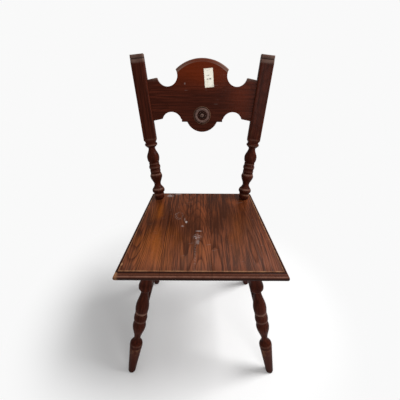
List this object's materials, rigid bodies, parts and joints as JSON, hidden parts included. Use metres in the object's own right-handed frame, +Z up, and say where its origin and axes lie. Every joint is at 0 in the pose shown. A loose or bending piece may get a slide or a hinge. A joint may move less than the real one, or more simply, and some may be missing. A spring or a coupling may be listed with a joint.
{
  "type": "carved plank-seat side chair",
  "caption": "Armless dark-stained wooden side chair with a moulded plank seat, splayed turned legs, raked turned posts and a scalloped crest rail with a carved rosette.",
  "frame": {"origin": "on the floor, under the middle of the chair's bounding box", "axes": "+Z up, +X to the right hand of someone who faces the front of the chair, +Y from the front of the seat towards the back"},
  "size_m": [0.477, 0.4646, 0.9038],
  "materials": {
    "seat_wood_warm": "worn clear varnish over a red-brown stain, grain front to back",
    "seat_wood": "worn clear varnish over a red-brown stain, grain front to back",
    "frame_wood": "dull dark stain, grain side to side",
    "turned_wood": "glossy dark stain and varnish, rubbed on the beads",
    "crest_wood": "glossy red-brown stain and varnish, grain side to side",
    "rosette_wood": "glossy red-brown stain and varnish, rubbed on the raised ring",
    "label_paper": "matt cream paper, slightly soiled",
    "wedge_wood": "dull stained end grain",
    "screw_steel": "dull aged steel"
  },
  "bodies": {
    "root": {"seat_board_left": "seat_wood_warm", "seat_board_centre": "seat_wood", "seat_board_right": "seat_wood", "batten_front": "frame_wood", "batten_rear": "frame_wood", "leg_front_left": "turned_wood", "leg_front_right": "turned_wood", "leg_rear_left": "turned_wood", "leg_rear_right": "turned_wood", "side_stretcher_left": "turned_wood", "side_stretcher_right": "turned_wood", "cross_stretcher": "turned_wood", "post_left": "turned_wood", "post_right": "turned_wood", "crest_rail": "crest_wood", "rosette": "rosette_wood", "price_label": "label_paper", "leg_wedges": "wedge_wood", "post_wedges": "wedge_wood", "crest_pegs": "wedge_wood", "batten_screws": "screw_steel"}
  },
  "joints": []
}
